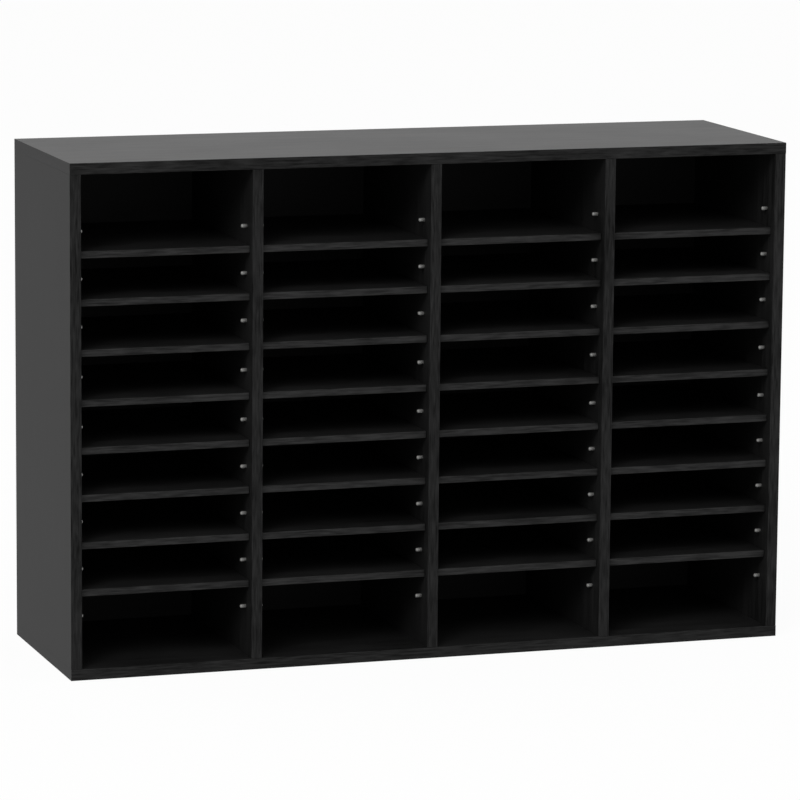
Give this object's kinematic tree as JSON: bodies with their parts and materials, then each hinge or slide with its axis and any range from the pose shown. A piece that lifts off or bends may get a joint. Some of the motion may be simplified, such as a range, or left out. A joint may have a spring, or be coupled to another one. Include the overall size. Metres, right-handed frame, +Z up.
{
  "type": "pigeonhole mail sorter",
  "caption": "Free-standing black board case, open at the front, split by dividers and loose shelves on metal pins into letter-size pigeonholes for sorting mail and papers.",
  "frame": {"origin": "middle of the underside, on the surface that the case stands on", "axes": "+X to the right seen from the open front, +Y from the open front to the back, +Z up"},
  "size_m": [0.998, 0.3, 0.682],
  "materials": {
    "case_laminate": "satin black laminate on particleboard, banded edges",
    "shelf_laminate": "satin black laminate on thin board, banded front edge",
    "back_hardboard": "black-faced hardboard",
    "dowel_beech": "plain beech, fluted",
    "pin_steel": "dull zinc-plated steel"
  },
  "bodies": {
    "case": {"left_side": "case_laminate", "right_side": "case_laminate", "divider_1": "case_laminate", "divider_2": "case_laminate", "divider_3": "case_laminate", "top_panel": "case_laminate", "bottom_panel": "case_laminate", "back_panel": "back_hardboard", "dowel_left_top_front": "dowel_beech", "dowel_left_top_rear": "dowel_beech", "dowel_left_bottom_front": "dowel_beech", "dowel_left_bottom_rear": "dowel_beech", "dowel_right_top_front": "dowel_beech", "dowel_right_top_rear": "dowel_beech", "dowel_right_bottom_front": "dowel_beech", "dowel_right_bottom_rear": "dowel_beech", "dowel_divider_1_top_front": "dowel_beech", "dowel_divider_1_top_rear": "dowel_beech", "dowel_divider_1_bottom_front": "dowel_beech", "dowel_divider_1_bottom_rear": "dowel_beech", "dowel_divider_2_top_front": "dowel_beech", "dowel_divider_2_top_rear": "dowel_beech", "dowel_divider_2_bottom_front": "dowel_beech", "dowel_divider_2_bottom_rear": "dowel_beech", "dowel_divider_3_top_front": "dowel_beech", "dowel_divider_3_top_rear": "dowel_beech", "dowel_divider_3_bottom_front": "dowel_beech", "dowel_divider_3_bottom_rear": "dowel_beech"},
    "shelf_col1_row1": {"shelf_col1_row1": "shelf_laminate"},
    "shelf_col1_row2": {"shelf_col1_row2": "shelf_laminate"},
    "shelf_col1_row3": {"shelf_col1_row3": "shelf_laminate"},
    "shelf_col1_row4": {"shelf_col1_row4": "shelf_laminate"},
    "shelf_col1_row5": {"shelf_col1_row5": "shelf_laminate"},
    "shelf_col1_row6": {"shelf_col1_row6": "shelf_laminate"},
    "shelf_col1_row7": {"shelf_col1_row7": "shelf_laminate"},
    "shelf_col1_row8": {"shelf_col1_row8": "shelf_laminate"},
    "shelf_col2_row1": {"shelf_col2_row1": "shelf_laminate"},
    "shelf_col2_row2": {"shelf_col2_row2": "shelf_laminate"},
    "shelf_col2_row3": {"shelf_col2_row3": "shelf_laminate"},
    "shelf_col2_row4": {"shelf_col2_row4": "shelf_laminate"},
    "shelf_col2_row5": {"shelf_col2_row5": "shelf_laminate"},
    "shelf_col2_row6": {"shelf_col2_row6": "shelf_laminate"},
    "shelf_col2_row7": {"shelf_col2_row7": "shelf_laminate"},
    "shelf_col2_row8": {"shelf_col2_row8": "shelf_laminate"},
    "shelf_col3_row1": {"shelf_col3_row1": "shelf_laminate"},
    "shelf_col3_row2": {"shelf_col3_row2": "shelf_laminate"},
    "shelf_col3_row3": {"shelf_col3_row3": "shelf_laminate"},
    "shelf_col3_row4": {"shelf_col3_row4": "shelf_laminate"},
    "shelf_col3_row5": {"shelf_col3_row5": "shelf_laminate"},
    "shelf_col3_row6": {"shelf_col3_row6": "shelf_laminate"},
    "shelf_col3_row7": {"shelf_col3_row7": "shelf_laminate"},
    "shelf_col3_row8": {"shelf_col3_row8": "shelf_laminate"},
    "shelf_col4_row1": {"shelf_col4_row1": "shelf_laminate"},
    "shelf_col4_row2": {"shelf_col4_row2": "shelf_laminate"},
    "shelf_col4_row3": {"shelf_col4_row3": "shelf_laminate"},
    "shelf_col4_row4": {"shelf_col4_row4": "shelf_laminate"},
    "shelf_col4_row5": {"shelf_col4_row5": "shelf_laminate"},
    "shelf_col4_row6": {"shelf_col4_row6": "shelf_laminate"},
    "shelf_col4_row7": {"shelf_col4_row7": "shelf_laminate"},
    "shelf_col4_row8": {"shelf_col4_row8": "shelf_laminate"}
  },
  "joints": [
    {"name": "pull_col1_row1", "type": "slide", "parent": "case", "child": "shelf_col1_row1", "axis": [0, -1, 0], "range_m": [0, 0.25]},
    {"name": "pull_col1_row2", "type": "slide", "parent": "case", "child": "shelf_col1_row2", "axis": [0, -1, 0], "range_m": [0, 0.25]},
    {"name": "pull_col1_row3", "type": "slide", "parent": "case", "child": "shelf_col1_row3", "axis": [0, -1, 0], "range_m": [0, 0.25]},
    {"name": "pull_col1_row4", "type": "slide", "parent": "case", "child": "shelf_col1_row4", "axis": [0, -1, 0], "range_m": [0, 0.25]},
    {"name": "pull_col1_row5", "type": "slide", "parent": "case", "child": "shelf_col1_row5", "axis": [0, -1, 0], "range_m": [0, 0.25]},
    {"name": "pull_col1_row6", "type": "slide", "parent": "case", "child": "shelf_col1_row6", "axis": [0, -1, 0], "range_m": [0, 0.25]},
    {"name": "pull_col1_row7", "type": "slide", "parent": "case", "child": "shelf_col1_row7", "axis": [0, -1, 0], "range_m": [0, 0.25]},
    {"name": "pull_col1_row8", "type": "slide", "parent": "case", "child": "shelf_col1_row8", "axis": [0, -1, 0], "range_m": [0, 0.25]},
    {"name": "pull_col2_row1", "type": "slide", "parent": "case", "child": "shelf_col2_row1", "axis": [0, -1, 0], "range_m": [0, 0.25]},
    {"name": "pull_col2_row2", "type": "slide", "parent": "case", "child": "shelf_col2_row2", "axis": [0, -1, 0], "range_m": [0, 0.25]},
    {"name": "pull_col2_row3", "type": "slide", "parent": "case", "child": "shelf_col2_row3", "axis": [0, -1, 0], "range_m": [0, 0.25]},
    {"name": "pull_col2_row4", "type": "slide", "parent": "case", "child": "shelf_col2_row4", "axis": [0, -1, 0], "range_m": [0, 0.25]},
    {"name": "pull_col2_row5", "type": "slide", "parent": "case", "child": "shelf_col2_row5", "axis": [0, -1, 0], "range_m": [0, 0.25]},
    {"name": "pull_col2_row6", "type": "slide", "parent": "case", "child": "shelf_col2_row6", "axis": [0, -1, 0], "range_m": [0, 0.25]},
    {"name": "pull_col2_row7", "type": "slide", "parent": "case", "child": "shelf_col2_row7", "axis": [0, -1, 0], "range_m": [0, 0.25]},
    {"name": "pull_col2_row8", "type": "slide", "parent": "case", "child": "shelf_col2_row8", "axis": [0, -1, 0], "range_m": [0, 0.25]},
    {"name": "pull_col3_row1", "type": "slide", "parent": "case", "child": "shelf_col3_row1", "axis": [0, -1, 0], "range_m": [0, 0.25]},
    {"name": "pull_col3_row2", "type": "slide", "parent": "case", "child": "shelf_col3_row2", "axis": [0, -1, 0], "range_m": [0, 0.25]},
    {"name": "pull_col3_row3", "type": "slide", "parent": "case", "child": "shelf_col3_row3", "axis": [0, -1, 0], "range_m": [0, 0.25]},
    {"name": "pull_col3_row4", "type": "slide", "parent": "case", "child": "shelf_col3_row4", "axis": [0, -1, 0], "range_m": [0, 0.25]},
    {"name": "pull_col3_row5", "type": "slide", "parent": "case", "child": "shelf_col3_row5", "axis": [0, -1, 0], "range_m": [0, 0.25]},
    {"name": "pull_col3_row6", "type": "slide", "parent": "case", "child": "shelf_col3_row6", "axis": [0, -1, 0], "range_m": [0, 0.25]},
    {"name": "pull_col3_row7", "type": "slide", "parent": "case", "child": "shelf_col3_row7", "axis": [0, -1, 0], "range_m": [0, 0.25]},
    {"name": "pull_col3_row8", "type": "slide", "parent": "case", "child": "shelf_col3_row8", "axis": [0, -1, 0], "range_m": [0, 0.25]},
    {"name": "pull_col4_row1", "type": "slide", "parent": "case", "child": "shelf_col4_row1", "axis": [0, -1, 0], "range_m": [0, 0.25]},
    {"name": "pull_col4_row2", "type": "slide", "parent": "case", "child": "shelf_col4_row2", "axis": [0, -1, 0], "range_m": [0, 0.25]},
    {"name": "pull_col4_row3", "type": "slide", "parent": "case", "child": "shelf_col4_row3", "axis": [0, -1, 0], "range_m": [0, 0.25]},
    {"name": "pull_col4_row4", "type": "slide", "parent": "case", "child": "shelf_col4_row4", "axis": [0, -1, 0], "range_m": [0, 0.25]},
    {"name": "pull_col4_row5", "type": "slide", "parent": "case", "child": "shelf_col4_row5", "axis": [0, -1, 0], "range_m": [0, 0.25]},
    {"name": "pull_col4_row6", "type": "slide", "parent": "case", "child": "shelf_col4_row6", "axis": [0, -1, 0], "range_m": [0, 0.25]},
    {"name": "pull_col4_row7", "type": "slide", "parent": "case", "child": "shelf_col4_row7", "axis": [0, -1, 0], "range_m": [0, 0.25]},
    {"name": "pull_col4_row8", "type": "slide", "parent": "case", "child": "shelf_col4_row8", "axis": [0, -1, 0], "range_m": [0, 0.25]}
  ]
}
